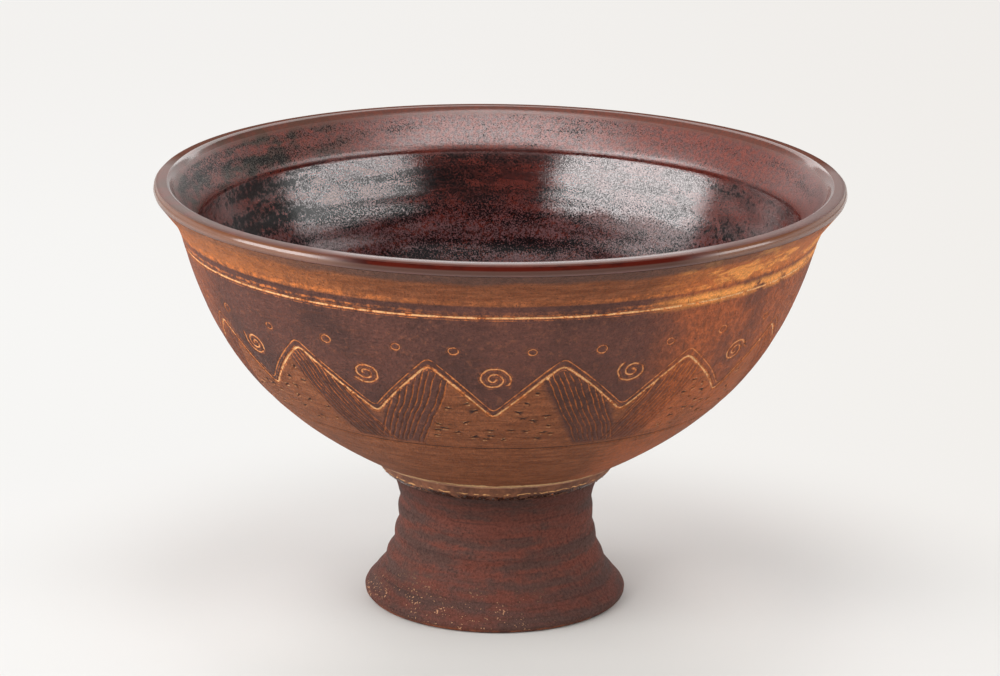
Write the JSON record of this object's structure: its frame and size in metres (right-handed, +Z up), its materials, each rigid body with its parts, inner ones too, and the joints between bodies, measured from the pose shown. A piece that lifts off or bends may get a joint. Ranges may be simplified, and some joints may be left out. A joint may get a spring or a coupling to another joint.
{
  "type": "stoneware pedestal bowl",
  "caption": "Wide thrown stoneware bowl with a flared rim, a dark glossy lining and a carved slip band outside, standing on a hollow ridged pedestal.",
  "frame": {"origin": "centre of the ring that the pedestal stands on, on the ground", "axes": "+Z up along the bowl's axis, +X to the right and +Y away from the viewer in the picture"},
  "size_m": [0.26, 0.26, 0.165],
  "materials": {
    "bowl_clay": "matte brown stoneware clay under both coats",
    "iron_slip": "satin brushed iron slip, brown with plum and orange zones",
    "dark_glaze": "glossy dark red-brown glaze with black mottling",
    "pedestal_clay": "matte rust-red clay with grey-purple bands",
    "coil_clay": "matte brown clay with an ochre edge"
  },
  "bodies": {
    "root": {"bowl_body": "bowl_clay", "exterior_slip": "iron_slip", "glaze_lining": "dark_glaze", "pedestal_foot": "pedestal_clay", "outer_luting_coil": "coil_clay", "inner_luting_coil": "coil_clay"}
  },
  "joints": []
}
